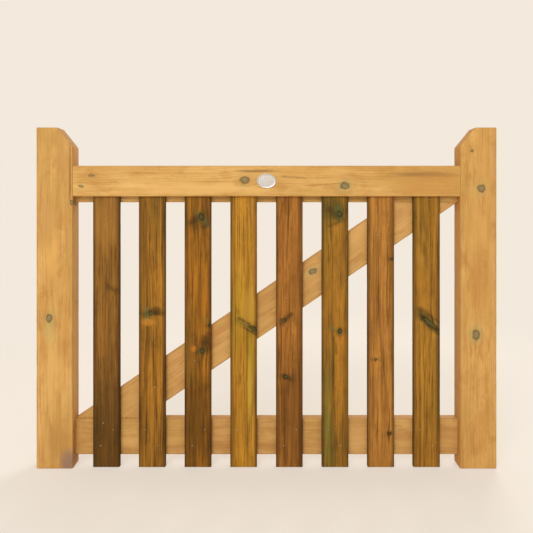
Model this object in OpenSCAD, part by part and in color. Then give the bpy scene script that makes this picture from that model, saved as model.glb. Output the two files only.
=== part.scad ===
// Framed garden gate with open pales and a braced back, in millimetres.
// X runs from the hanging edge to the latch edge, -Y is the front and +Z is up.
// The origin is the middle of the hanging stile's outer edge.

/* [Overall] */
// Width over both stiles
gate_w = 1200; // [1000:5:1500]
// Height of the stiles
gate_h = 890; // [700:5:1200]
// Thickness of the stiles and of the top rail
gate_t = 45; // [42:1:60]

/* [Stiles] */
// Width of each stile
stile_w = 95; // [75:1:120]
// Level part of a stile's top, beside its outer edge
horn_flat = 55; // [30:1:70]
// Drop of the sloping cut on a stile's top
horn_drop = 50; // [20:1:65]
// Height of a stile above the top rail
horn_rise = 100; // [70:1:140]

/* [Rails] */
// Height of the top rail
top_rail_h = 95; // [75:1:120]
// Height of the bottom rail
bottom_rail_h = 95; // [75:1:120]
// Height of the bottom rail above the foot of the stiles
bottom_rise = 28; // [5:1:60]
// Thickness of the bottom rail and of the brace
ledge_t = 25; // [18:1:30]

/* [Mortise and tenon] */
// Thickness of a tenon
tenon_t = 14; // [10:1:16]
// Length of a tenon beyond the rail's shoulder
tenon_len = 60; // [40:1:68]
// Shoulder above and below a tenon
tenon_shoulder = 14; // [8:1:25]
// Glue space left past the end of a tenon
mortise_end = 2; // [1:0.5:5]

/* [Pales] */
// Width of a pale
pale_w = 70; // [50:1:80]
// Thickness of a pale
pale_t = 12; // [9:1:14]
// Height of the lip's lower edge above the top rail's lower edge
lip_lift = 15; // [5:1:25]
// Depth of the groove for the pales, above the lip's lower edge
groove_deep = 14; // [8:1:20]
// Space left above a pale in its groove
pale_gap = 2; // [1:0.5:5]

/* [Brace] */
// Width of the diagonal brace
brace_w = 98; // [60:1:120]

/* [Plate] */
// Width of the blank oval plate
plate_w = 50; // [30:1:60]
// Height of the blank oval plate
plate_h = 38; // [20:1:42]
// Thickness of the plate's rim
plate_t = 1.5; // [1:0.1:3]
// Width of the plate's rim
rim_w = 2; // [1:0.5:4]
// Depth of the plate's field below its rim
rim_deep = 0.5; // [0.3:0.1:0.8]

/* [Hidden] */
PALE_COUNT = 8;
FRAME_NODES = ["hanging_stile", "latch_stile", "top_rail", "bottom_rail", "diagonal_brace", "oval_plate"];

OVAL_STEPS = 72;
WOOD = "burlywood";
STAINED = "sienna";

front_y = -gate_t / 2;
back_y = gate_t / 2;
top_z = gate_h / 2;
foot_z = -gate_h / 2;

// The frame's opening, between the stiles and between the rails
open_left = stile_w;
open_right = gate_w - stile_w;
open_w = open_right - open_left;
top_rail_z = top_z - horn_rise - top_rail_h;
bottom_rail_z = foot_z + bottom_rise;
open_bottom = bottom_rail_z + bottom_rail_h;
open_h = top_rail_z - open_bottom;

// The layers from back to front: ledge, pale, lip
ledge_y = back_y - ledge_t;
pale_y = ledge_y - pale_t;
tenon_y = ledge_y + (ledge_t - tenon_t) / 2;
lip_z = top_rail_z + lip_lift;
groove_z = lip_z + groove_deep;

// The pales stand at equal gaps across the opening
pale_space = (open_w - PALE_COUNT * pale_w) / (PALE_COUNT + 1);
pale_pitch = pale_w + pale_space;
pale_len = groove_z - pale_gap - foot_z;

// The brace runs corner to corner, with level ends that bear on both rails
open_diagonal = sqrt(open_w * open_w + open_h * open_h);
brace_angle = atan(open_h / open_w) + asin(brace_w / open_diagonal);
brace_end = brace_w / sin(brace_angle);

// An outline drawn in X and Z, as thick as depth, with its front at y
module upright(y, depth) {
    translate([0, y + depth, 0]) rotate([90, 0, 0]) linear_extrude(depth) children();
}

// A block that fills a rail's tenon at one end, from x over len
module tenon(x, len, rail_z, rail_h) {
    translate([x, tenon_y, rail_z + tenon_shoulder]) cube([len, tenon_t, rail_h - 2 * tenon_shoulder]);
}

// Both tenons of a rail
module tenons(rail_z, rail_h) {
    tenon(open_left - tenon_len, tenon_len, rail_z, rail_h);
    tenon(open_right, tenon_len, rail_z, rail_h);
}

// The pocket in a stile for one tenon, from x
module mortise(x, rail_z, rail_h) {
    tenon(x, tenon_len + mortise_end, rail_z, rail_h);
}

// A stile with its outer edge at X = 0, and its horn sloping down inwards
module stile_blank() {
    upright(front_y, gate_t) polygon([
        [0, foot_z],
        [stile_w, foot_z],
        [stile_w, top_z - horn_drop],
        [horn_flat, top_z],
        [0, top_z]
    ]);
}

module hanging_stile() {
    color(WOOD) difference() {
        stile_blank();
        mortise(open_left - tenon_len - mortise_end, top_rail_z, top_rail_h);
        mortise(open_left - tenon_len - mortise_end, bottom_rail_z, bottom_rail_h);
    }
}

module latch_stile() {
    color(WOOD) difference() {
        translate([gate_w, 0, 0]) mirror([1, 0, 0]) stile_blank();
        mortise(open_right, top_rail_z, top_rail_h);
        mortise(open_right, bottom_rail_z, bottom_rail_h);
    }
}

// The top rail's section, with a groove behind its front lip for the pales
module top_rail_section() {
    rail_top = top_rail_z + top_rail_h;
    polygon([
        [front_y, lip_z],
        [pale_y, lip_z],
        [pale_y, groove_z],
        [ledge_y, groove_z],
        [ledge_y, top_rail_z],
        [back_y, top_rail_z],
        [back_y, rail_top],
        [front_y, rail_top]
    ]);
}

module top_rail() {
    color(WOOD) {
        translate([open_left, 0, 0]) rotate([90, 0, 90]) linear_extrude(open_w) top_rail_section();
        tenons(top_rail_z, top_rail_h);
    }
}

module bottom_rail() {
    color(WOOD) {
        translate([open_left, ledge_y, bottom_rail_z]) cube([open_w, ledge_t, bottom_rail_h]);
        tenons(bottom_rail_z, bottom_rail_h);
    }
}

// The brace rises from the hanging stile's foot to the latch stile's head
module diagonal_brace() {
    color(WOOD) upright(ledge_y, ledge_t) polygon([
        [open_left, open_bottom],
        [open_left + brace_end, open_bottom],
        [open_right, top_rail_z],
        [open_right - brace_end, top_rail_z]
    ]);
}

// One pale, counted from the hanging stile
module pale(i) {
    x = open_left + pale_space + (i - 1) * pale_pitch;
    color(STAINED) translate([x, pale_y, foot_z]) cube([pale_w, pale_t, pale_len]);
}

module oval(w, h) {
    polygon([for (k = [0:OVAL_STEPS - 1]) let (a = 360 * k / OVAL_STEPS) [w / 2 * cos(a), h / 2 * sin(a)]]);
}

// A plain plate with a raised rim, on the middle of the top rail's lip
module oval_plate() {
    plate_z = (lip_z + top_rail_z + top_rail_h) / 2;
    color("silver") translate([gate_w / 2, 0, plate_z]) difference() {
        upright(front_y - plate_t, plate_t) oval(plate_w, plate_h);
        upright(front_y - plate_t - 1, rim_deep + 1) oval(plate_w - 2 * rim_w, plate_h - 2 * rim_w);
    }
}

hanging_stile();
latch_stile();
top_rail();
bottom_rail();
diagonal_brace();
oval_plate();
for (i = [1:PALE_COUNT]) pale(i);
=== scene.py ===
# %% [markdown]
# # A garden gate in planed and stained softwood
#
# The frame of the gate is known exactly: where each board lies, how thick it is and how
# the boards meet. This lesson puts wood round that frame. It goes from the boards' shapes
# to their grain, then to the nails, the small plate, the floor, the light and the camera.

# %% Load the frame
import math

import bmesh
import bpy
from mathutils import Matrix, Vector, noise


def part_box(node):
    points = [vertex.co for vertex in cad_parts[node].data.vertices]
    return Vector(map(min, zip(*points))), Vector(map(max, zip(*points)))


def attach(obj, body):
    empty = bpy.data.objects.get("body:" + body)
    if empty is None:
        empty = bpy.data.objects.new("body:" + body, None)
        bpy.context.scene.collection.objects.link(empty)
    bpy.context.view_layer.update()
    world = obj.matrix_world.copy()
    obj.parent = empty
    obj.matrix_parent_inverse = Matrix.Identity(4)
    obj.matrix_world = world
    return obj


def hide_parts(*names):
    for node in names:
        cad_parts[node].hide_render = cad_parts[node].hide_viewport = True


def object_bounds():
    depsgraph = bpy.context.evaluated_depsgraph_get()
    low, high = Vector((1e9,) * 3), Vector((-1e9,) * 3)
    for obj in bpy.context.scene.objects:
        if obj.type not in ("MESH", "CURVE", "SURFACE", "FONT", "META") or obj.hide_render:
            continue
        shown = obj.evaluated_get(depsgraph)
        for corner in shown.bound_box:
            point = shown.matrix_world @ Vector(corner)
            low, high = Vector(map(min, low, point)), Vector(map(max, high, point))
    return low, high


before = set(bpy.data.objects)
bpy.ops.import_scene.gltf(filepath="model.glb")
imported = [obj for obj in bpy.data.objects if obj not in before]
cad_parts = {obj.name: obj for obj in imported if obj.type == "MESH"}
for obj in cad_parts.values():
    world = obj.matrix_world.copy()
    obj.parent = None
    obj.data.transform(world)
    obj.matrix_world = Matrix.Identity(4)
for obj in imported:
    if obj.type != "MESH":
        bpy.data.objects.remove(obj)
cad_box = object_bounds()
gate_low, gate_high = cad_box
print("gate", [round(v, 4) for v in gate_high - gate_low], "m,", len(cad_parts), "pieces")

# %% [markdown]
# ## Places on the gate
#
# A joiner measures along the gate from its hanging edge and up from its foot, in
# millimetres. The same habit keeps this script readable, so one function turns such a
# measure into a point in metres.

# %% Measure like a joiner
MM = 0.001
FOOT = gate_low.z


def gate_point(along, up):
    """A point that lies along mm from the hanging edge and up mm above the foot."""
    return Vector((along * MM, 0.0, FOOT + up * MM))


print("middle of the gate", gate_point(600, 445))

# %% [markdown]
# ## The boards' own axes
#
# Wood has a direction. Grain, rings, checks and streaks all follow the length of the
# tree, so a pattern that is drawn in the room's axes looks right on one board only. Each
# board here gets axes of its own: X along the grain, Y across it, and Z from the front
# face to the back. A texture that reads the object's own coordinates then turns with it.

# %% Find each board's direction
UP = Vector((0, 0, 1))
ALONG = Vector((1, 0, 0))
BACKWARD = Vector((0, 1, 0))
PALES = sorted(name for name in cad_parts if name.startswith("pale_"))


def brace_direction():
    """The way the brace's grain runs, along the upper edge of its outline."""
    low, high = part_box("diagonal_brace")
    points = [v.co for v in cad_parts["diagonal_brace"].data.vertices]
    upper_end = round(min(p.x for p in points if abs(p.z - high.z) < MM), 5)
    return Vector((upper_end - low.x, 0, high.z - low.z)).normalized()


def board_axes(name, direction):
    """A matrix with X along the grain, Z backward and its origin in the board's middle."""
    low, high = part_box(name)
    across = BACKWARD.cross(direction)
    turn = Matrix((direction, across, BACKWARD)).transposed()
    return Matrix.Translation((low + high) / 2) @ turn.to_4x4()


def on_board(name, place):
    """A place on the gate, in the axes of one board."""
    return AXES[name].inverted() @ gate_point(*place)


DIRECTIONS = {name: UP for name in ["hanging_stile", "latch_stile", *PALES]}
DIRECTIONS.update({"top_rail": ALONG, "bottom_rail": ALONG, "diagonal_brace": brace_direction()})
AXES = {name: board_axes(name, way) for name, way in DIRECTIONS.items()}
print("brace rises at", round(math.degrees(ALONG.angle(DIRECTIONS["diagonal_brace"])), 1), "degrees")

# %% [markdown]
# ## A planed board
#
# A planer leaves long edges that are eased by a millimetre or two, while a shoulder that
# meets another board stays sharp. A bevel on every edge would open a gap at each joint,
# so only the edges on the outer faces are rounded, and on a rail only the ones that run
# with the grain. Timber also moves as it dries: faces wander by a tenth of a millimetre
# and edges get dented. The board is cut into a fine grid, and each point is moved inward
# by a smooth noise, so the light catches it unevenly.

# %% Take the exact shape and find its outer edges
MERGE_GAP = 0.01 * MM
FACE_SKIN = 0.1 * MM
FLAT_ANGLE = math.radians(1)
SHARP_ANGLE = math.radians(25)
STRAIGHT = 0.9


def local_mesh(name):
    """The board's exact shape, in its own axes, with flat faces whole again."""
    shape = bmesh.new()
    shape.from_mesh(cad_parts[name].data)
    shape.transform(AXES[name].inverted())
    bmesh.ops.remove_doubles(shape, verts=shape.verts[:], dist=MERGE_GAP)
    bmesh.ops.dissolve_limit(shape, angle_limit=FLAT_ANGLE, verts=shape.verts[:], edges=shape.edges[:])
    return shape


def outer_edges(shape, with_ends):
    """The sharp edges that touch an outer face, and not those of a mortise or a tenon."""
    half = max(abs(v.co.z) for v in shape.verts)
    found = []
    for edge in shape.edges:
        if len(edge.link_faces) != 2 or edge.calc_face_angle(0) < SHARP_ANGLE:
            continue
        a, b = (v.co for v in edge.verts)
        touches = max(abs(a.z), abs(b.z)) > half - FACE_SKIN
        lengthwise = abs((b - a).normalized().x) > STRAIGHT
        if touches and (with_ends or lengthwise):
            found.append(edge)
    return found


# %% Cut it into a grid and season it
CUT_SLACK = 0.02 * MM
WANDER_SCALES = (9, 45, 45)
FACE_WANDER = 0.12 * MM
DENT_SCALES = (30, 50, 50)
DENT_LEVEL = 0.15
DENT_DEPTH = 0.8 * MM
DENT_REACH = 3
SHOULDER_GAP = 0.25 * MM


def cut_plane(shape, place, normal):
    """Cuts every face that a plane crosses, and keeps both sides."""
    geometry = shape.verts[:] + shape.edges[:] + shape.faces[:]
    bmesh.ops.bisect_plane(shape, geom=geometry, dist=CUT_SLACK, plane_co=place, plane_no=normal)


def cut_grid(shape, axis, step):
    """Cuts the board by planes across one axis, about a step apart."""
    low = min(v.co[axis] for v in shape.verts)
    high = max(v.co[axis] for v in shape.verts)
    count = max(2, round((high - low) / step))
    normal = Vector([float(k == axis) for k in range(3)])
    for k in range(1, count):
        cut_plane(shape, normal * (low + (high - low) * k / count), normal)


def noise_at(place, scales, seed):
    """A smooth noise at a place in the board, from about -1 to 1."""
    x, y, z = (part * scale for part, scale in zip(place, scales))
    return noise.noise(Vector((x, y, z + seed)))


def season(shape, ease, seed):
    """Moves each point inward a little, as drying and handling do."""
    half = Vector([max(abs(v.co[k]) for v in shape.verts) for k in range(3)])
    shape.normal_update()
    moves = []
    for v in shape.verts:
        shrunk = 0.5 + 0.5 * noise_at(v.co, WANDER_SCALES, seed)
        dent = max(0.0, noise_at(v.co, DENT_SCALES, -seed) - DENT_LEVEL)
        near_y = max(0.0, 1 - (half.y - abs(v.co.y)) / (DENT_REACH * ease))
        near_z = max(0.0, 1 - (half.z - abs(v.co.z)) / (DENT_REACH * ease))
        inward = FACE_WANDER * shrunk + DENT_DEPTH * dent * near_y * near_z
        if abs(v.normal.x) > STRAIGHT:
            inward = SHOULDER_GAP
        moves.append(v.normal * -inward)
    for v, move in zip(shape.verts, moves):
        v.co += move


# %% [markdown]
# ## Drying checks
#
# A board dries faster at its faces than inside, so a face sometimes splits along the
# grain. Such a check is a narrow groove that strays a little and tapers out at both ends.
# A dark line in the material would stay flat when light falls across it, so the mesh gets
# three rows of points for each check, and the middle row is pressed in. On the top rail and
# the hanging stile a dark stroke in the wood also lies along the check, as painted shade
# inside the groove.

# %% Open the checks
FACE_SIDE = {"front": -1.0, "back": 1.0, "through": 0.0}
CHECK_WANDER = 2.2 * MM
ACROSS = Vector((0, 1, 0))


class Check:
    """A drying crack along the grain, from one place on the gate to another."""

    def __init__(self, name, start, end, face, width=1.4, depth=3.0):
        first = on_board(name, start)
        last = on_board(name, end)
        self.middle = (first.y + last.y) / 2
        self.low, self.high = sorted((first.x, last.x))
        self.side = FACE_SIDE[face]
        self.half = width * MM / 2
        self.depth = depth * MM

    def wander(self, x):
        """How far the crack strays sideways at x."""
        return CHECK_WANDER * noise.noise(Vector((x * 14, self.middle * 50, 3.3)))

    def taper(self, x):
        """How far the crack is open at x: 0 at both its ends, 1 in the middle."""
        run = (x - self.low) / (self.high - self.low)
        return math.sin(math.pi * run) ** 0.6 if 0 < run < 1 else 0.0


CHECKS = {
    "top_rail": [Check("top_rail", (327, 748), (590, 748), "back")],
    "diagonal_brace": [Check("diagonal_brace", (760, 510), (900, 592), "back", 1.0, 2.0)],
    "hanging_stile": [Check("hanging_stile", (88, 706), (88, 846), "front", 1.0, 2.5)],
}


def cut_checks(shape, checks):
    """Adds the three rows of points that each crack needs: its two lips and its bottom."""
    for check in checks:
        for shift in (-check.half, 0.0, check.half):
            cut_plane(shape, ACROSS * (check.middle + shift), ACROSS)


def open_checks(shape, checks):
    """Moves each crack's rows sideways with its wander, and presses its bottom in."""
    for check in checks:
        for v in shape.verts:
            aside = abs(v.co.y - check.middle)
            opening = check.taper(v.co.x)
            if aside > check.half * 1.1 or v.co.z * check.side < 0 or opening == 0.0:
                continue
            if aside < check.half * 0.5:
                v.co.z -= check.side * check.depth * opening
            v.co.y += check.wander(v.co.x) * opening


print("checks", [f"{name} {c.depth / MM:.1f} mm deep" for name, some in CHECKS.items() for c in some])

# %% [markdown]
# ## Thirteen boards
#
# With the helpers ready, each board is one call. The stiles and the pales have free ends,
# whose edges are eased too. The rails and the brace end against other boards and stay
# sharp there. The grid is a little finer across the grain than along it.

# %% Make the boards
EASE_SEGMENTS = 3
GRID_STEPS = (9 * MM, 7 * MM, 7 * MM)
PALE_EASE = 1.4 * MM
FRAME_EASES = {"hanging_stile": 2.0 * MM, "latch_stile": 2.0 * MM, "top_rail": 2.0 * MM,
               "bottom_rail": 1.8 * MM, "diagonal_brace": 1.8 * MM}


def add_object(shape, name, sharp_degrees=None):
    """Puts a finished shape into the scene, smooth but for edges sharper than an angle."""
    mesh = bpy.data.meshes.new(name)
    shape.to_mesh(mesh)
    shape.free()
    if sharp_degrees:
        mesh.shade_smooth()
        mesh.set_sharp_from_angle(angle=math.radians(sharp_degrees))
    made = bpy.data.objects.new(name, mesh)
    bpy.context.scene.collection.objects.link(made)
    return made


def make_board(name, ease, with_ends, seed):
    """A seasoned board that stands for the exact one."""
    shape = local_mesh(name)
    edges = outer_edges(shape, with_ends)
    bmesh.ops.bevel(shape, geom=edges, offset=ease, segments=EASE_SEGMENTS, profile=0.5,
                    affect="EDGES", clamp_overlap=True)
    for axis, step in enumerate(GRID_STEPS):
        cut_grid(shape, axis, step)
    checks = CHECKS.get(name, [])
    cut_checks(shape, checks)
    season(shape, ease, seed)
    open_checks(shape, checks)
    board = add_object(shape, name + "_board", sharp_degrees=40)
    board.matrix_world = AXES[name]
    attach(board, "root")
    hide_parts(name)
    return board


boards = {}
for number, name in enumerate(DIRECTIONS):
    free_ends = DIRECTIONS[name] is UP
    boards[name] = make_board(name, FRAME_EASES.get(name, PALE_EASE), free_ends, 10.0 * number)
print("faces in all boards", sum(len(b.data.polygons) for b in boards.values()))

# %% [markdown]
# ## Small tools for node trees
#
# A wood shader needs more than a hundred nodes. Written out one by one, they hide what
# they do. These helpers each add one node or a few, take either a number or another
# node's output for every input, and give back the output, so that a pattern reads like a
# formula.

# %% Add nodes and materials


def srgb(red, green, blue):
    """A colour given as a painter picks it, from 0 to 255, in the shader's linear scale."""
    picked = (c / 255 for c in (red, green, blue))
    return (*(c / 12.92 if c <= 0.04045 else ((c + 0.055) / 1.055) ** 2.4 for c in picked), 1.0)


def put(tree, kind, inputs=None, **settings):
    """Adds one node, with its settings, and fills or links its inputs."""
    made = tree.nodes.new("ShaderNode" + kind)
    for key, value in settings.items():
        setattr(made, key, value)
    for key, value in (inputs or {}).items():
        if isinstance(value, bpy.types.NodeSocket):
            tree.links.new(value, made.inputs[key])
        else:
            made.inputs[key].default_value = value
    return made


def put_group(tree, group, inputs):
    """Adds a node group with its inputs, and gives back its outputs."""
    return put(tree, "Group", inputs, node_tree=group).outputs


def new_group(name, inputs, labels):
    """An empty node group that gives one number for each label, and its two ends."""
    group = bpy.data.node_groups.new(name, "ShaderNodeTree")
    for label, kind in inputs.items():
        group.interface.new_socket(label, in_out="INPUT", socket_type="NodeSocket" + kind)
    for label in labels:
        group.interface.new_socket(label, in_out="OUTPUT", socket_type="NodeSocketFloat")
    start = group.nodes.new("NodeGroupInput")
    end = group.nodes.new("NodeGroupOutput")
    return group, start.outputs, end.inputs


def new_material(name):
    """A material with an empty node tree."""
    material = bpy.data.materials.new(name)
    material.use_nodes = True
    material.node_tree.nodes.clear()
    return material, material.node_tree


def add_shader(tree, inputs):
    """The one shader of a solid material, and its output."""
    shader = put(tree, "BsdfPrincipled", inputs).outputs[0]
    put(tree, "OutputMaterial", {"Surface": shader})


# %% Reckon with numbers, vectors and colours


def num(tree, operation, a, b=0.0, clamp=False):
    """Arithmetic on one or two numbers."""
    return put(tree, "Math", {0: a, 1: b}, operation=operation, use_clamp=clamp).outputs[0]


def times(tree, product, *factors):
    """Several numbers multiplied."""
    for factor in factors:
        product = num(tree, "MULTIPLY", product, factor)
    return product


def plus(tree, a, b):
    """The sum of two numbers."""
    return num(tree, "ADD", a, b)


def rest(tree, value):
    """What a number lacks to 1."""
    return num(tree, "SUBTRACT", 1.0, value)


def centred(tree, value):
    """A noise's value, moved so that its middle is 0."""
    return num(tree, "SUBTRACT", value, 0.5)


def squares(tree, a, b):
    """The sum of two numbers' squares."""
    return plus(tree, times(tree, a, a), times(tree, b, b))


def strongest(tree, values):
    """The highest of several masks."""
    top = values[0]
    for value in values[1:]:
        top = num(tree, "MAXIMUM", top, value)
    return top


def vec(tree, operation, a, b):
    """Arithmetic on two vectors."""
    return put(tree, "VectorMath", {0: a, 1: b}, operation=operation).outputs[0]


def scaled(tree, vector, by):
    """A vector made longer or shorter."""
    return put(tree, "VectorMath", {0: vector, "Scale": by}, operation="SCALE").outputs[0]


def length_of(tree, vector):
    """A vector's length."""
    return put(tree, "VectorMath", {0: vector}, operation="LENGTH").outputs["Value"]


def parts_of(tree, vector):
    """A vector's three numbers, named X, Y and Z."""
    return put(tree, "SeparateXYZ", {0: vector}).outputs


def fade(tree, value, start, end):
    """A smooth step, from 0 at start to 1 at end."""
    inputs = {"Value": value, "From Min": start, "From Max": end}
    return put(tree, "MapRange", inputs, interpolation_type="SMOOTHSTEP").outputs["Result"]


def paint(tree, amount, under, over):
    """One colour laid over another."""
    return put(tree, "Mix", {0: amount, 6: under, 7: over}, data_type="RGBA").outputs[2]


def grainy(tree, vector, scale, detail=2.0, roughness=0.5, distortion=0.0):
    """A noise from 0 to 1."""
    inputs = {"Vector": vector, "Scale": scale, "Detail": detail, "Roughness": roughness,
              "Distortion": distortion}
    return put(tree, "TexNoise", inputs).outputs["Fac"]


def drawn(tree, vector, stretch, *how):
    """A noise with its own scale on each axis: where that is small, it is drawn out long."""
    return grainy(tree, vec(tree, "MULTIPLY", vector, stretch), 1.0, *how)


# %% [markdown]
# ## Knots
#
# A knot is the foot of a branch that the trunk grew round. Seen from outside it has a
# core with rings of its own, a dark rim, and a halo where the fibres part and flow past.
# It could be a painted spot, but then the grain would run straight through it. So the
# group gives six things: how far the fibres are pushed aside, the core, its rings, the
# rim, the halo, and a smear of stain across the grain. Pressure treatment turns some of
# the halos green.

# %% Build the knot group
KNOT_WOBBLE = 11 * MM
KNOT_RINGS = 21.0
KNOT_PUSH = -0.92


def face_mask(tree, position, side):
    """1 on the face that a mark shows on, or all through the board where side is 0."""
    return fade(tree, times(tree, parts_of(tree, position)["Z"], side), -6 * MM, -1 * MM)


def bell(tree, parts, radius, length, width):
    """1 in the middle, and less with distance, in radii along and across the grain."""
    along = num(tree, "DIVIDE", parts["X"], times(tree, radius, length))
    across = num(tree, "DIVIDE", parts["Y"], times(tree, radius, width))
    return num(tree, "EXPONENT", times(tree, squares(tree, along, across), -1.0))


def make_knot_group():
    """Position and a knot's place and size in, its masks and the push on the grain out."""
    inputs = {"Position": "Vector", "Centre": "Vector", "Radius": "Float", "Stretch": "Float",
              "Tilt": "Float", "Side": "Float"}
    labels = ["Push", "Core", "Rim", "Halo", "Smear", "Rings"]
    group, given, result = new_group("branch_knot", inputs, labels)
    position, radius = given["Position"], given["Radius"]
    wobble = put(group, "TexNoise", {"Vector": position, "Scale": 75.0, "Detail": 3.0}).outputs["Color"]
    wobble = scaled(group, vec(group, "SUBTRACT", wobble, (0.5, 0.5, 0.5)), KNOT_WOBBLE)
    offset = vec(group, "SUBTRACT", position, given["Centre"])
    loose = {"Vector": vec(group, "ADD", offset, wobble), "Angle": given["Tilt"]}
    parts = parts_of(group, put(group, "VectorRotate", loose, rotation_type="Z_AXIS").outputs[0])
    long_way = num(group, "DIVIDE", parts["X"], given["Stretch"])
    reach = num(group, "DIVIDE", num(group, "SQRT", squares(group, long_way, parts["Y"])), radius)
    rim = times(group, fade(group, reach, 0.5, 0.95), rest(group, fade(group, reach, 0.95, 1.5)))
    flow = parts_of(group, offset)
    masks = {
        "Push": times(group, flow["Y"], bell(group, flow, radius, 4.0, 2.4), KNOT_PUSH),
        "Core": rest(group, fade(group, reach, 0.55, 1.1)),
        "Rim": rim,
        "Halo": rest(group, fade(group, reach, 0.6, 3.4)),
        "Smear": bell(group, parts, radius, 1.9, 3.6),
    }
    shown = face_mask(group, position, given["Side"])
    for label, value in masks.items():
        group.links.new(times(group, value, shown), result[label])
    wave = num(group, "SINE", times(group, reach, KNOT_RINGS))
    group.links.new(plus(group, times(group, wave, 0.5), 0.5), result["Rings"])
    return group


KNOT_GROUP = make_knot_group()
print("knot group has", len(KNOT_GROUP.nodes), "nodes")

# %% [markdown]
# ## Lines in the wood
#
# Beside a knot the grain leaves short dark lines, and resin and stain leave others that
# run across it. Each is one soft stroke between two places. It could be a thin mesh on
# the board, but a mark in the wood has no thickness. So the group measures how far each
# point lies from the line, adds a noise to that distance, and fades out with it.

# %% Build the stroke group
STROKE_WOBBLE = 2.4
STROKE_END = 1.7


def make_stroke_group():
    """A soft, unsteady line from a start point along a direction, as a mask."""
    inputs = {"Position": "Vector", "Start": "Vector", "Direction": "Vector", "Length": "Float",
              "Width": "Float", "Side": "Float"}
    group, given, result = new_group("wood_stroke", inputs, ["Mask"])
    position, direction = given["Position"], given["Direction"]
    flat = vec(group, "MULTIPLY", position, (1.0, 1.0, 0.0))
    offset = vec(group, "SUBTRACT", flat, given["Start"])
    run = put(group, "VectorMath", {0: offset, 1: direction}, operation="DOT_PRODUCT").outputs["Value"]
    run = num(group, "MINIMUM", num(group, "MAXIMUM", run, 0.0), given["Length"])
    away = length_of(group, vec(group, "SUBTRACT", offset, scaled(group, direction, run)))
    unsteady = times(group, centred(group, grainy(group, position, 110.0, 3.0)), STROKE_WOBBLE)
    away = plus(group, num(group, "DIVIDE", away, given["Width"]), unsteady)
    mask = rest(group, fade(group, away, 0.0, STROKE_END))
    group.links.new(times(group, mask, face_mask(group, position, given["Side"])), result["Mask"])
    return group


STROKE_GROUP = make_stroke_group()
print("stroke group has", len(STROKE_GROUP.nodes), "nodes")

# %% [markdown]
# ## Growth rings and fibres
#
# A tree grows one ring a year: soft and pale in spring, hard and dark in late summer,
# with a sudden end. A board is a flat cut through those cylinders. Where the saw passes
# near the middle of the tree the rings open into long arches, and near its rim they run
# as fine lines. A picture of wood can't turn the corner of a board, so this group makes
# the rings in space, round a pith that lies outside the board, and the faces, the edges
# and the end grain then agree by themselves.

# %% Build the ring group
# The noises that bend the rings: how each is drawn out, and how far it can move a ring
RING_WAVES = [((1.3, 6.0, 6.0), 52 * MM), ((9.0, 60.0, 60.0), 2.2 * MM),
              ((30.0, 320.0, 320.0), 1.2 * MM)]


def make_ring_group():
    """Position and the pith's place in; summer wood, fibres, streaks, clouds and specks out."""
    inputs = {"Position": "Vector", "Push": "Float", "Pith": "Vector", "Spacing": "Float",
              "Seed": "Float"}
    labels = ["Summer", "Fibre", "Streak", "Vein", "Gold", "Cloud", "Drift", "Mottle", "Fleck", "Pore"]
    group, given, result = new_group("growth_rings", inputs, labels)
    seed = put(group, "CombineXYZ", {"X": given["Seed"], "Y": given["Seed"], "Z": 0.0}).outputs[0]
    pushed = put(group, "CombineXYZ", {"X": 0.0, "Y": given["Push"], "Z": 0.0}).outputs[0]
    place = vec(group, "ADD", given["Position"], pushed)
    own = vec(group, "ADD", place, seed)
    aside = vec(group, "ADD", own, (3.7, 1.9, 0.8))
    from_pith = parts_of(group, vec(group, "SUBTRACT", place, given["Pith"]))
    radius = num(group, "SQRT", squares(group, from_pith["Y"], from_pith["Z"]))
    for stretch, height in RING_WAVES:
        radius = plus(group, radius, times(group, centred(group, drawn(group, own, stretch)), height))
    year = num(group, "FRACT", num(group, "DIVIDE", radius, given["Spacing"]))
    patterns = {
        "Summer": times(group, fade(group, year, 0.35, 0.86), rest(group, fade(group, year, 0.9, 1.0))),
        "Fibre": drawn(group, own, (14.0, 900.0, 900.0), 3.0, 0.6),
        "Streak": drawn(group, own, (2.2, 62.0, 40.0), 3.0, 0.55),
        "Vein": drawn(group, own, (6.0, 210.0, 140.0), 4.0, 0.62),
        "Gold": drawn(group, aside, (4.5, 150.0, 110.0), 4.0, 0.6),
        "Cloud": drawn(group, own, (5.0, 22.0, 16.0), 3.0, 0.55),
        "Drift": drawn(group, own, (3.1, 8.0, 8.0), 2.0, 0.5, 0.6),
        "Mottle": drawn(group, aside, (17.0, 36.0, 30.0), 4.0, 0.62, 0.5),
        "Fleck": fade(group, drawn(group, aside, (42.0, 300.0, 260.0)), 0.64, 0.76),
        "Pore": fade(group, drawn(group, own, (70.0, 1300.0, 1300.0), 1.0), 0.66, 0.78),
    }
    for label, value in patterns.items():
        group.links.new(value, result[label])
    return group


RING_GROUP = make_ring_group()
print("ring group has", len(RING_GROUP.nodes), "nodes")

# %% [markdown]
# ## One wood, many boards
#
# Every board comes from its own tree, so it has its own pith, ring width, knots and
# tone, but all share one recipe. A finish is therefore a class, and the wood a function:
# it joins the ring group and one knot group per knot, lays the colours over each other
# from the palest wood to the darkest mark, and ends in one shader. Planed frame timber
# and stained pales hand it other colours and other strengths, and each board its own
# knots, stains and lines.

# %% Write down the finishes


class Finish:
    """The colours of one kind of wood, and how strongly each mark shows in it."""

    def __init__(self, colours, strengths, edge_width, rough, gloss):
        self.tone = {part: srgb(*picked) for part, picked in colours.items()}
        self.strength = strengths
        self.edge_width = edge_width * MM
        self.rough = rough
        self.gloss = gloss


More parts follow.
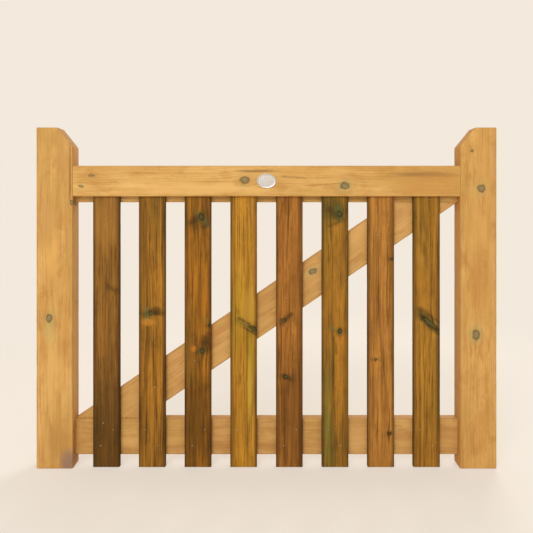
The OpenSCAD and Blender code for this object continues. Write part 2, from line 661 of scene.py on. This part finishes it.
def honey(spring, summer, glow):
    """Planed softwood that has gone honey gold under a pale treatment."""
    # The side colour and strength paint shade onto the board's narrow sides.
    colours = dict(spring=spring, summer=summer, glow=glow, shade=(158, 108, 52), tint=(196, 152, 78),
                   knot=(146, 134, 94), rim=(88, 68, 42), halo=(176, 160, 96), side=(196, 130, 62))
    strengths = dict(ring=0.52, streak=0.36, gold=0.4, vein=0.3, fibre=0.42, mottle=0.6, fleck=0.4,
                     tint=0.6, smear=0.14, edge=0.32, green=0.75, core=0.8, side=0.26)
    return Finish(colours, strengths, edge_width=4, rough=0.6, gloss=0.25)


def stained(light, dark, glow, tint=(92, 80, 26), tint_strength=0.35):
    """A pale under brown stain, which gathers at its edges."""
    # The side colour and strength paint shade onto the pale's narrow sides.
    colours = dict(spring=light, summer=dark, glow=glow, shade=(58, 36, 10), tint=tint,
                   knot=(92, 92, 52), rim=(40, 27, 10), halo=(96, 90, 40), side=(64, 40, 14))
    strengths = dict(ring=0.4, streak=0.75, gold=0.75, vein=0.72, fibre=0.4, mottle=0.35, fleck=0.4,
                     tint=tint_strength, smear=0.85, edge=0.75, green=0.55, core=0.75, side=0.35)
    return Finish(colours, strengths, edge_width=12, rough=0.58, gloss=0.12)


class Knot:
    """A knot at a place on the gate, with its size, and the face where it shows."""

    def __init__(self, along, up, radius, face="front", stretch=1.3, tilt=0.0, green=0.6):
        self.place = (along, up)
        self.radius = radius * MM
        self.stretch = stretch
        self.tilt = math.radians(tilt)
        self.side = FACE_SIDE[face]
        self.green = green


class Stroke:
    """A line of one tint in the wood, from one place on the gate to another."""

    def __init__(self, start, end, width, tint, strength, face="front"):
        self.start = start
        self.end = end
        self.width = width * MM
        self.tint = srgb(*tint)
        self.strength = strength
        self.side = FACE_SIDE[face]


# %% Place the marks on a board


def add_knots(tree, position, name, knots):
    """One knot group for each knot, with all their pushes and masks gathered."""
    made = []
    for knot in knots:
        centre = on_board(name, knot.place)
        inputs = {"Position": position, "Centre": (centre.x, centre.y, 0.0), "Radius": knot.radius,
                  "Stretch": knot.stretch, "Tilt": knot.tilt, "Side": knot.side}
        made.append(put_group(tree, KNOT_GROUP, inputs))
    push = made[0]["Push"]
    for other in made[1:]:
        push = plus(tree, push, other["Push"])
    masks = {label: strongest(tree, [m[label] for m in made]) for label in ("Core", "Rim", "Smear")}
    masks["Green"] = strongest(tree, [times(tree, m["Halo"], k.green) for m, k in zip(made, knots)])
    masks["Rings"] = strongest(tree, [times(tree, m["Core"], m["Rings"]) for m in made])
    return push, masks


def stroke_mask(tree, position, name, stroke):
    """Where one stroke shows on its board."""
    start = on_board(name, stroke.start)
    run = on_board(name, stroke.end) - start
    run.z = 0.0
    inputs = {"Position": position, "Start": (start.x, start.y, 0.0), "Direction": run.normalized(),
              "Length": run.length, "Width": stroke.width, "Side": stroke.side}
    return times(tree, put_group(tree, STROKE_GROUP, inputs)["Mask"], stroke.strength)


def patch_mask(tree, position, name, place, size, strength):
    """A soft, ragged stain round a place on the gate, with its length along the grain."""
    centre = on_board(name, place)
    offset = vec(tree, "SUBTRACT", position, (centre.x, centre.y, 0.0))
    shrink = (1 / (size[0] * MM), 1 / (size[1] * MM), 0.0)
    ragged = centred(tree, drawn(tree, position, (12.0, 70.0, 70.0), 3.0))
    reach = plus(tree, length_of(tree, vec(tree, "MULTIPLY", offset, shrink)), ragged)
    return times(tree, rest(tree, fade(tree, reach, 0.35, 1.1)), strength)


def near_edges(tree, position, name, width):
    """High close to the board's long edges, where stain and dirt gather."""
    half = max(abs(v.co.y) for v in boards[name].data.vertices)
    return fade(tree, num(tree, "ABSOLUTE", parts_of(tree, position)["Y"]), half - width, half)


# %% List the layers of colour
# A pattern of the grain, where its fade starts and ends, its strength and its tone
GRAIN_LAYERS = [("Drift", 0.44, 0.66, "tint", "tint"), ("Mottle", 0.48, 0.7, "mottle", "summer"),
                ("Streak", 0.42, 0.74, "streak", "summer"), ("Gold", 0.5, 0.68, "gold", "glow"),
                ("Vein", 0.5, 0.7, "vein", "shade"), ("Fibre", 0.45, 0.8, "fibre", "summer")]
PORE_STRENGTH = 0.35
RING_STRENGTH = 0.45
RIM_STRENGTH = 0.72
END_STRENGTH = 0.3
END_RING_STRENGTH = 0.55


def grain_layers(tree, grain, finish):
    """The clean board's layers, from its rings to its pores, each a mask and a tone."""
    tone, strength = finish.tone, finish.strength
    broken = times(tree, grain["Summer"], fade(tree, grain["Mottle"], 0.3, 0.6))
    layers = [(times(tree, broken, strength["ring"]), tone["summer"])]
    for pattern, start, end, mark, over in GRAIN_LAYERS:
        layers.append((times(tree, fade(tree, grain[pattern], start, end), strength[mark]), tone[over]))
    layers.append((times(tree, grain["Fleck"], strength["fleck"]), tone["shade"]))
    layers.append((times(tree, grain["Pore"], PORE_STRENGTH), tone["shade"]))
    return layers


def knot_layers(tree, masks, grain, finish):
    """Stain and green round the knots, then their cores, rings and rims."""
    tone, strength = finish.tone, finish.strength
    ragged = fade(tree, grain["Vein"], 0.3, 0.62)
    flowing = fade(tree, grain["Gold"], 0.25, 0.6)
    return [(times(tree, masks["Smear"], ragged, strength["smear"]), tone["shade"]),
            (times(tree, masks["Green"], flowing, strength["green"]), tone["halo"]),
            (times(tree, masks["Core"], strength["core"]), tone["knot"]),
            (times(tree, masks["Rings"], RING_STRENGTH), tone["rim"]),
            (times(tree, masks["Rim"], RIM_STRENGTH), tone["rim"])]


def edge_layers(tree, coordinates, name, grain, finish, back_dark):
    """Darker long edges and ends, painted shade on the narrow sides, and a darker back."""
    tone, strength = finish.tone, finish.strength
    uneven = plus(tree, times(tree, grain["Cloud"], 1.1), 0.35)
    arris = times(tree, near_edges(tree, coordinates["Object"], name, finish.edge_width), uneven)
    arris = num(tree, "MULTIPLY", arris, strength["edge"], clamp=True)
    facing = parts_of(tree, coordinates["Normal"])
    ends = fade(tree, num(tree, "ABSOLUTE", facing["X"]), 0.4, 0.62)
    # The narrow sides take a darker tone: painted shade, since a side face gets less light than the front.
    sides = fade(tree, num(tree, "ABSOLUTE", facing["Y"]), 0.5, 0.85)
    layers = [(arris, tone["shade"]), (times(tree, ends, END_STRENGTH), tone["shade"]),
              (times(tree, ends, grain["Summer"], END_RING_STRENGTH), tone["shade"]),
              (times(tree, sides, strength["side"]), tone["side"])]
    if back_dark:
        layers.append((times(tree, fade(tree, facing["Z"], 0.3, 0.7), back_dark), tone["shade"]))
    return layers


# %% Join a finish to a board
RELIEF_DEPTH = 0.25 * MM
FIBRE_ROUGH = 0.25
SUMMER_ROUGH = -0.08


def wood_relief(tree, grain, masks):
    """Raised summer wood and fibres, sunken pores and knot rims."""
    height = times(tree, grain["Summer"], 0.5)
    heights = [(grain["Fibre"], 0.8), (grain["Pore"], -0.5), (grain["Mottle"], 0.6), (masks["Rim"], -1.2)]
    for mask, lift in heights:
        height = plus(tree, height, times(tree, mask, lift))
    return put(tree, "Bump", {"Height": height, "Strength": 0.6, "Distance": RELIEF_DEPTH}).outputs[0]


def wood_material(name, finish, knots, pith, spacing, seed, patches=(), strokes=(), back_dark=0.0):
    """The whole wood of one board, with its pith and ring spacing in millimetres."""
    material, tree = new_material(name + "_wood")
    coordinates = put(tree, "TexCoord").outputs
    position = coordinates["Object"]
    push, masks = add_knots(tree, position, name, knots)
    inputs = {"Position": position, "Push": push, "Pith": (0.0, pith[0] * MM, pith[1] * MM),
              "Spacing": spacing * MM, "Seed": seed}
    grain = put_group(tree, RING_GROUP, inputs)
    layers = grain_layers(tree, grain, finish)
    for place, size, tint, most in patches:
        layers.append((patch_mask(tree, position, name, place, size, most), srgb(*tint)))
    for stroke in strokes:
        layers.append((stroke_mask(tree, position, name, stroke), stroke.tint))
    layers += knot_layers(tree, masks, grain, finish)
    layers += edge_layers(tree, coordinates, name, grain, finish, back_dark)
    colour = paint(tree, fade(tree, grain["Cloud"], 0.36, 0.66), finish.tone["spring"], finish.tone["glow"])
    for mask, tone in layers:
        colour = paint(tree, mask, colour, tone)
    rough = plus(tree, finish.rough, times(tree, grain["Fibre"], FIBRE_ROUGH))
    rough = plus(tree, rough, times(tree, grain["Summer"], SUMMER_ROUGH))
    add_shader(tree, {"Base Color": colour, "Roughness": rough, "Normal": wood_relief(tree, grain, masks),
                      "Specular IOR Level": finish.gloss})
    return material


# %% [markdown]
# ## The frame's five boards
#
# These are square-edged, honey coloured and fairly clean. Each has a handful of small
# grey-green knots, and the rings open into arches on the faces. A knot is given by its
# place and radius, a patch by its place, size, tint and strength, and a stroke by its two
# ends, width, tint and strength, all measured in the joiner's way.

# %% Finish the frame
DARK_LINE = (122, 88, 50)
RED_LINE = (170, 108, 54)

frame_woods = {
    "hanging_stile": dict(
        finish=honey((208, 158, 84), (184, 128, 60), (224, 176, 102)), pith=(6, -70),
        spacing=5.5, seed=3.1,
        knots=[Knot(34, 392, 7.5, "front", 1.25, 0, 0.9), Knot(92, 695, 5, "front", 1.2, 0, 0.1),
               Knot(48, 737, 4, "back", 1.2), Knot(69, 435, 5, "back", 1.3), Knot(52, 59, 6, "back")],
        patches=[((81, 23), (44, 26), (150, 118, 98), 0.9), ((36, 360), (46, 22), (196, 176, 104), 0.5),
                 ((70, 800), (60, 26), (184, 136, 70), 0.6), ((40, 560), (80, 24), (226, 172, 92), 0.6),
                 ((60, 70), (60, 40), (186, 136, 68), 0.6), ((30, 640), (90, 24), (192, 144, 76), 0.6),
                 ((50, 860), (26, 60), (192, 146, 76), 0.6),
                 ((44, 250), (110, 34), (224, 176, 100), 0.5)],
        strokes=[Stroke((95, 430), (64, 436), 4, DARK_LINE, 0.4, "back"),
                 Stroke((50, 437), (22, 434), 4, DARK_LINE, 0.3, "back"),
                 Stroke((62, 741), (36, 734), 5, DARK_LINE, 0.35, "back"),
                 # The last stroke lies along the front check: painted shade inside its groove.
                 Stroke((88, 700), (88, 850), 1.2, DARK_LINE, 0.6, "front")]),
    "latch_stile": dict(
        finish=honey((208, 157, 84), (182, 127, 58), (224, 174, 98)), pith=(-30, -60),
        spacing=4.5, seed=8.3,
        knots=[Knot(1160, 731, 8, "front", 1.2, 0, 0.6), Knot(1146, 349, 8, "front", 1.4, 0, 1.0),
               Knot(1136, 829, 3, "front", 1, 0, 0), Knot(1146, 795, 4, "back"), Knot(1158, 675, 4, "back"),
               Knot(1124, 611, 5, "back"), Knot(1163, 608, 4, "back"),
               Knot(1156, 300, 5, "back", 1.2, 0, 0.1)],
        patches=[((1150, 480), (90, 30), (198, 140, 70), 0.6), ((1160, 90), (80, 30), (192, 138, 68), 0.5),
                 ((1150, 620), (70, 40), (220, 168, 92), 0.5)],
        strokes=[Stroke((1196, 344), (1160, 302), 5, RED_LINE, 0.6, "back"),
                 Stroke((1114, 350), (1152, 302), 5, RED_LINE, 0.6, "back"),
                 Stroke((1190, 338), (1166, 308), 2.5, DARK_LINE, 0.4, "back"),
                 Stroke((1118, 348), (1136, 322), 2.5, DARK_LINE, 0.5, "back")]),
    "top_rail": dict(
        finish=honey((212, 162, 88), (188, 134, 64), (226, 180, 106)), pith=(18, -55),
        spacing=5.0, seed=5.7,
        knots=[Knot(543, 752, 8, "front", 1.3, 0, 0.5), Knot(804, 737, 8, "front", 1.2, 0, 0.9),
               Knot(144, 764, 3, "front", 2.5, 0, 0.2), Knot(117, 737, 3, "front", 2.0, 0, 0.2),
               Knot(782, 758, 5, "back", 2.4, 63, 0.3), Knot(513, 716, 5, "back", 3.0, -42, 0.6),
               Knot(1084, 750, 5, "back", 1.2, 0, 0.6)],
        patches=[((1010, 767), (110, 10), (146, 106, 60), 0.8), ((580, 776), (80, 5), (132, 100, 58), 0.7),
                 ((1040, 745), (130, 40), (198, 142, 70), 0.6),
                 ((420, 730), (240, 22), (234, 188, 114), 0.6),
                 ((150, 755), (60, 30), (190, 138, 70), 0.5)],
        # The first stroke lies along the check on the back: painted shade inside its groove.
        strokes=[Stroke((327, 748), (590, 748), 1.6, (96, 66, 36), 0.9, "back"),
                 Stroke((500, 776), (492, 752), 4, RED_LINE, 0.6, "back"),
                 Stroke((533, 700), (498, 733), 2.5, (92, 70, 42), 0.8, "back"),
                 Stroke((796, 780), (778, 752), 3, RED_LINE, 0.6, "back"),
                 Stroke((700, 758), (640, 762), 2, DARK_LINE, 0.5, "front"),
                 Stroke((700, 738), (790, 744), 1.6, RED_LINE, 0.6, "front")]),
    "bottom_rail": dict(
        finish=honey((206, 156, 90), (182, 130, 68), (216, 168, 98)), pith=(-12, 60),
        spacing=4.2, seed=1.9,
        knots=[Knot(933, 82, 5, "back", 1.2, 0, 0), Knot(652, 90, 6, "back", 1.8, 0, 0.6),
               Knot(335, 88, 5, "back", 1.6), Knot(890, 35, 5, "back"), Knot(905, 118, 5, "back", 1.6)],
        patches=[((500, 52), (260, 16), (178, 120, 58), 0.5), ((1010, 80), (130, 22), (182, 126, 66), 0.5),
                 ((830, 70), (70, 40), (220, 174, 106), 0.5), ((260, 60), (160, 14), (224, 176, 104), 0.5)],
        strokes=[Stroke((660, 92), (640, 88), 2, (80, 58, 34), 0.8, "back")]),
    "diagonal_brace": dict(
        finish=honey((208, 157, 90), (184, 130, 68), (218, 170, 100)), pith=(20, -48),
        spacing=4.6, seed=6.4,
        knots=[Knot(893, 597, 5, "back", 1.5, 0, 0.7), Knot(707, 520, 6, "back", 1.6, 0, 0.5),
               Knot(583, 384, 4, "back"), Knot(266, 146, 8, "back", 1.2, 0, 0.9),
               Knot(247, 212, 5, "back", 1.4),
               Knot(722, 512, 6, "front", 1.6, 0, 0.7)],
        patches=[((560, 420), (220, 10), (190, 130, 66), 0.5), ((400, 300), (220, 9), (188, 130, 66), 0.5),
                 ((860, 630), (160, 30), (222, 172, 100), 0.5)],
        strokes=[Stroke((735, 545), (690, 505), 3, DARK_LINE, 0.5, "back")]),
}
for name, recipe in frame_woods.items():
    boards[name].data.materials.append(wood_material(name, **recipe))
print("finished", len(frame_woods), "frame boards")

# %% [markdown]
# ## The eight pales
#
# The pales are sawn from different boards and took the brown stain each in its own way:
# some went dark, some orange, some kept a green cast. So each has its own three colours,
# and some are darker on the back.

# %% Finish the pales
SOOT = (60, 42, 16)
MOSS = (104, 112, 62)

pale_woods = {
    "pale_1": dict(
        finish=stained((140, 96, 38), (84, 54, 18), (160, 110, 44)), pith=(10, -50),
        spacing=4.5, seed=11.0,
        knots=[Knot(180, 560, 3, "back", 1.2, 0, 0.1)], back_dark=0.1,
        patches=[((180, 60), (190, 60), (68, 46, 14), 0.6), ((180, 660), (110, 60), (178, 126, 56), 0.45)],
        strokes=[Stroke((186, 474), (212, 462), 7, SOOT, 0.45)]),
    "pale_2": dict(
        finish=stained((154, 106, 38), (90, 58, 18), (188, 128, 42)), pith=(-26, -36),
        spacing=5, seed=12.0,
        knots=[Knot(296, 404, 4, "through", 1.6, 0, 0.6)],
        patches=[((285, 396), (26, 8), (118, 118, 62), 0.7), ((310, 410), (14, 20), (74, 50, 16), 0.7),
                 ((290, 380), (12, 22), (200, 132, 46), 0.6)],
        strokes=[Stroke((298, 409), (328, 402), 7, SOOT, 0.6),
                 Stroke((282, 398), (268, 406), 6, SOOT, 0.4)]),
    "pale_3": dict(
        finish=stained((150, 100, 32), (82, 52, 14), (186, 120, 32)), pith=(5, -60), spacing=4, seed=13.0,
        knots=[Knot(430, 656, 6, "through", 1.6, 24, 0.9), Knot(430, 306, 5, "through", 1.2, 0, 1.0),
               Knot(450, 372, 3, "through", 1.4, 30, 0.5)], back_dark=0.1,
        patches=[((420, 120), (150, 50), (72, 48, 14), 0.6), ((410, 310), (10, 12), (206, 124, 36), 0.7),
                 ((440, 325), (26, 22), (64, 42, 12), 0.6), ((415, 640), (30, 26), (84, 56, 18), 0.5)],
        strokes=[Stroke((424, 664), (446, 636), 6, MOSS, 0.6),
                 Stroke((402, 640), (424, 658), 7, SOOT, 0.55),
                 Stroke((438, 632), (456, 650), 7, SOOT, 0.5), Stroke((448, 350), (438, 322), 7, SOOT, 0.6),
                 Stroke((440, 390), (458, 366), 3, MOSS, 0.6)]),
    "pale_4": dict(
        finish=stained((180, 126, 40), (128, 84, 24), (208, 148, 48), (146, 124, 30), 0.45),
        pith=(30, -40),
        spacing=5, seed=14.0, knots=[Knot(566, 362, 4, "front", 3.2, 62, 0.3)], back_dark=0.5,
        patches=[((556, 220), (150, 8), (190, 168, 50), 0.5), ((560, 420), (60, 30), (204, 156, 60), 0.5)],
        strokes=[Stroke((528, 384), (590, 348), 9, (96, 88, 34), 0.6),
                 Stroke((526, 392), (592, 354), 3, SOOT, 0.5),
                 Stroke((540, 366), (586, 340), 3, SOOT, 0.55)]),
    "pale_5": dict(
        finish=stained((166, 108, 44), (102, 62, 20), (188, 124, 52), (112, 70, 24), 0.4),
        pith=(-12, -45),
        spacing=4, seed=15.0, back_dark=0.2,
        knots=[Knot(644, 385, 4, "front", 1.8, 60, 0.0), Knot(650, 236, 4, "front", 1.5, 0, 0.0)],
        patches=[((675, 130), (200, 60), (92, 58, 20), 0.5), ((700, 600), (120, 14), (206, 144, 66), 0.5)],
        strokes=[Stroke((640, 376), (664, 402), 6, SOOT, 0.6),
                 Stroke((640, 242), (666, 230), 5, SOOT, 0.55)]),
    "pale_6": dict(
        finish=stained((164, 113, 40), (94, 68, 22), (186, 127, 40), (90, 92, 36), 0.55), pith=(0, -55),
        spacing=5, seed=16.0,
        knots=[Knot(792, 356, 4, "through", 1.3, 0, 1.0), Knot(792, 664, 5, "front", 1.5, 30, 1.0)],
        patches=[((790, 668), (30, 16), (98, 122, 70), 0.8), ((760, 120), (160, 10), (122, 122, 52), 0.5),
                 ((778, 676), (40, 60), (84, 70, 26), 0.7)],
        strokes=[Stroke((764, 676), (800, 650), 8, SOOT, 0.5),
                 Stroke((764, 632), (790, 642), 5, SOOT, 0.45),
                 Stroke((768, 366), (796, 350), 3, MOSS, 0.7),
                 Stroke((776, 340), (784, 300), 4, SOOT, 0.4)]),
    "pale_7": dict(
        finish=stained((176, 120, 50), (128, 82, 32), (200, 138, 62), (148, 96, 38), 0.3), pith=(22, -50),
        spacing=4, seed=17.0, back_dark=0.35,
        knots=[Knot(929, 547, 3, "through", 1, 0, 0), Knot(887, 282, 3.5, "through", 1, 0, 0),
               Knot(924, 89, 3.5, "through", 1, 0, 0)]),
    "pale_8": dict(
        finish=stained((168, 116, 40), (104, 70, 22), (190, 134, 46), (110, 92, 28), 0.4), pith=(-8, -42),
        spacing=4.5, seed=18.0, knots=[Knot(1028, 378, 6, "front", 4.4, 50, 0.9)], back_dark=0.3,
        patches=[((1012, 400), (20, 20), (80, 60, 24), 0.6)],
        strokes=[Stroke((1002, 414), (1012, 388), 7, SOOT, 0.5),
                 Stroke((1008, 388), (1052, 350), 5, SOOT, 0.7),
                 Stroke((1022, 400), (1054, 380), 4, SOOT, 0.45),
                 Stroke((1056, 392), (1010, 350), 8, SOOT, 0.7, "back"),
                 Stroke((1014, 408), (1030, 420), 4, MOSS, 0.5, "back")]),
}
for name, recipe in pale_woods.items():
    boards[name].data.materials.append(wood_material(name, **recipe))
print("finished", len(pale_woods), "pales")

# %% [markdown]
# ## Nails
#
# Small nails, dull with weather, hold each pale to the bottom rail, two on a slant so
# that they do not split it, and one more where it crosses the brace. Each head is a
# shallow dome that stands half a millimetre proud of the wood, with its rim sunk in. All
# heads are one mesh, because nobody moves them singly.

# %% Drive the nails
HEAD_RADIUS = 1.8 * MM
HEAD_SIDES = 14
HEAD_TIP = -0.55
# Rings of the dome: share of its radius, and mm behind the pale's face
HEAD_PROFILE = [(0.5, -0.5), (0.85, -0.3), (1.0, 0.0), (1.0, 0.5)]
# Places of the nails: mm beside the pale's middle, and mm above the rail's foot or the brace's middle
NAILS_OVER_RAIL = [(-18, 70), (15, 28)]
NAIL_OVER_BRACE = (8, 6)
CREASE_DEGREES = 50


def oval_ring(shape, middle, half_x, half_z, sides):
    """An upright ring of points round a middle."""
    ring = []
    for k in range(sides):
        angle = 2 * math.pi * k / sides
        spot = Vector((half_x * math.cos(angle), 0, half_z * math.sin(angle)))
        ring.append(shape.verts.new(middle + spot))
    return ring


def bridge(shape, rows):
    """Faces between each ring and the next."""
    for first, second in zip(rows, rows[1:]):
        for k in range(len(first)):
            after = (k + 1) % len(first)
            shape.faces.new((first[k], second[k], second[after], first[after]))


def add_head(shape, place):
    """A domed nail head that faces the front."""
    rows = []
    for width, lift in HEAD_PROFILE:
        radius = HEAD_RADIUS * width
        rows.append(oval_ring(shape, place + BACKWARD * lift * MM, radius, radius, HEAD_SIDES))
    tip = shape.verts.new(place + BACKWARD * HEAD_TIP * MM)
    for k in range(HEAD_SIDES):
        shape.faces.new((tip, rows[0][k], rows[0][(k + 1) % HEAD_SIDES]))
    bridge(shape, rows)
    shape.faces.new(rows[-1])


def nail_places():
    """Two places on each pale over the bottom rail, and one over the brace."""
    rail_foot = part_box("bottom_rail")[0].z
    brace_low, brace_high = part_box("diagonal_brace")
    brace_middle = (brace_low + brace_high) / 2
    slope = DIRECTIONS["diagonal_brace"].z / DIRECTIONS["diagonal_brace"].x
    places = []
    for number, name in enumerate(PALES):
        low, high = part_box(name)
        lean = 1 if number % 2 else -1
        middle = (low.x + high.x) / 2
        for aside, up in NAILS_OVER_RAIL:
            places.append(Vector((middle + aside * lean * MM, low.y, rail_foot + up * MM)))
        crossing = brace_middle.z + (middle - brace_middle.x) * slope
        aside, up = NAIL_OVER_BRACE
        places.append(Vector((middle + aside * lean * MM, low.y, crossing + up * lean * MM)))
    return places


heads = bmesh.new()
for place in nail_places():
    add_head(heads, place)
bmesh.ops.recalc_face_normals(heads, faces=heads.faces[:])
nails = add_object(heads, "nail_heads", CREASE_DEGREES)
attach(nails, "root")
print("nail heads", len(nail_places()))

# %% [markdown]
# ## The blank plate
#
# A small oval plate sits on the middle of the top rail. It is thin pressed metal: a
# rolled rim round a field that is very slightly crowned. A flat disc would reflect one
# even grey, and the crown and the rim give it its glint.

# %% Press the plate
PLATE_SIDES = 96
# Rings from the back edge over the rim to the field: mm in from the outline, share of thickness
PLATE_PROFILE = [(0.0, 0.0), (0.0, 0.75), (0.3, 0.95), (0.9, 1.0), (1.5, 0.9), (2.0, 0.62),
                 (4.0, 0.6), (9.0, 0.68), (14.0, 0.72)]


def make_plate():
    """A pressed oval plate, lofted over its rings and closed at both ends."""
    low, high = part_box("oval_plate")
    middle, half = (low + high) / 2, (high - low) / 2
    shape = bmesh.new()
    rows = []
    for inset, lift in PLATE_PROFILE:
        centre = Vector((middle.x, high.y - (high.y - low.y) * lift, middle.z))
        rows.append(oval_ring(shape, centre, half.x - inset * MM, half.z - inset * MM, PLATE_SIDES))
    bridge(shape, rows)
    shape.faces.new(rows[0])
    shape.faces.new(rows[-1])
    bmesh.ops.recalc_face_normals(shape, faces=shape.faces[:])
    return add_object(shape, "pressed_plate", CREASE_DEGREES)


plate = make_plate()
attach(plate, "root")
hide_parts("oval_plate")
print("plate", [round(v, 4) for v in plate.dimensions])

# %% Finish the metal


def metal_material(name, bright, dull, rough):
    """Satin metal with fine scratches and dull spots."""
    material, tree = new_material(name)
    position = put(tree, "TexCoord").outputs["Object"]
    scratch = drawn(tree, position, (300.0, 300.0, 4000.0), 3.0)
    spots = grainy(tree, position, 420.0, 3.0)
    colour = paint(tree, fade(tree, spots, 0.4, 0.7), srgb(*bright), srgb(*dull))
    roughness = plus(tree, rough, times(tree, scratch, 0.25))
    relief = put(tree, "Bump", {"Height": scratch, "Strength": 0.3, "Distance": 0.05 * MM}).outputs[0]
    add_shader(tree, {"Base Color": colour, "Roughness": roughness, "Normal": relief, "Metallic": 1.0})
    return material


plate.data.materials.append(metal_material("satin_plate", (206, 203, 198), (176, 172, 166), 0.32))
nails.data.materials.append(metal_material("dull_nail", (176, 164, 142), (120, 104, 82), 0.42))
print("metals", plate.data.materials[0].name, nails.data.materials[0].name)

# %% [markdown]
# ## Floor and backdrop
#
# The gate stands in an empty pale studio. The floor is a wide disc that turns into the
# backdrop's own colour with distance, so no horizon shows. Near the gate half of what the
# camera sees of it is a matt surface, which keeps a soft shadow, and half is that colour.

# %% Lay the floor
CREAM = srgb(243, 233, 220)
FLOOR_RADIUS = 9.0
FLOOR_SIDES = 96
FLOOR_GAP = 0.5 * MM
NEAR_GLOW = 0.5


def make_floor():
    """A wide disc under the gate."""
    shape = bmesh.new()
    bmesh.ops.create_circle(shape, cap_ends=True, segments=FLOOR_SIDES, radius=FLOOR_RADIUS)
    made = add_object(shape, "studio_floor")
    made.location = (gate_high.x / 2, 0, FOOT - FLOOR_GAP)
    return made


def floor_material():
    """Half matt near the gate, and the backdrop's even colour far from it."""
    material, tree = new_material("studio_cream")
    distance = length_of(tree, put(tree, "TexCoord").outputs["Object"])
    even = num(tree, "MAXIMUM", fade(tree, distance, 0.7, 2.2), NEAR_GLOW)
    seen = put(tree, "LightPath").outputs["Is Camera Ray"]
    matt = put(tree, "BsdfDiffuse", {"Color": CREAM}).outputs[0]
    glow = put(tree, "Emission", {"Color": CREAM, "Strength": 1.0}).outputs[0]
    mixed = put(tree, "MixShader", {0: times(tree, even, seen), 1: matt, 2: glow}).outputs[0]
    put(tree, "OutputMaterial", {"Surface": mixed})
    return material


floor = make_floor()
floor.data.materials.append(floor_material())
print("floor radius", FLOOR_RADIUS, "m")

# %% [markdown]
# ## Light
#
# Light comes from a bright sky of one colour and two large soft lamps of about equal
# strength, one high in front on the left and one high behind on the right, so that both
# faces of the gate are lit. A single lamp would leave the back dull and the shadow hard.
# The level is one at which a colour looks as it was mixed.

# %% Light the studio
SKY_LEVEL = 0.62
SKY_WHITE = (1.0, 0.985, 0.96, 1.0)
GATE_CENTRE = (0.6, 0, 0)


def make_sky():
    """The backdrop's cream to the camera and to metal, and an even white light to the gate."""
    world = bpy.data.worlds.new("studio_sky")
    world.use_nodes = True
    tree = world.node_tree
    tree.nodes.clear()
    path = put(tree, "LightPath").outputs
    seen = num(tree, "MAXIMUM", path["Is Camera Ray"], path["Is Glossy Ray"])
    light = put(tree, "Background", {"Color": SKY_WHITE, "Strength": SKY_LEVEL}).outputs[0]
    backdrop = put(tree, "Background", {"Color": CREAM, "Strength": 1.0}).outputs[0]
    mixed = put(tree, "MixShader", {0: seen, 1: light, 2: backdrop}).outputs[0]
    put(tree, "OutputWorld", {"Surface": mixed})
    return world


def add_lamp(name, place, size, power):
    """A large square lamp that looks at the gate's middle."""
    data = bpy.data.lights.new(name, "AREA")
    data.size = size
    data.energy = power
    lamp = bpy.data.objects.new(name, data)
    lamp.location = place
    lamp.rotation_euler = (Vector(GATE_CENTRE) - Vector(place)).to_track_quat("-Z", "Y").to_euler()
    bpy.context.scene.collection.objects.link(lamp)


bpy.context.scene.world = make_sky()
add_lamp("key_left", (-1.0, -4.6, 3.2), 2.8, 152)
add_lamp("fill_back", (3.0, 4.4, 3.0), 2.6, 150)
bpy.context.scene.view_settings.view_transform = "Standard"

# %% [markdown]
# ## Camera
#
# The gate is seen straight on from just below its top rail, close enough that the inner
# sides of both stiles show. A level camera keeps the uprights upright, and a small shift
# of the lens brings the gate up towards the middle of the picture.

# %% Place the camera
EYE_DISTANCE = 1.37
EYE_HEIGHT = 0.68
LENS = 35.5
SHIFT = -0.11

camera_data = bpy.data.cameras.new("gate_camera")
camera_data.lens = LENS
camera_data.shift_y = SHIFT
camera = bpy.data.objects.new("gate_camera", camera_data)
stile_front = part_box("hanging_stile")[0].y
camera.location = (gate_high.x / 2, stile_front - EYE_DISTANCE, FOOT + EYE_HEIGHT)
camera.rotation_euler = (math.radians(90), 0, 0)
bpy.context.scene.collection.objects.link(camera)
bpy.context.scene.camera = camera
print("camera at", [round(v, 3) for v in camera.location])
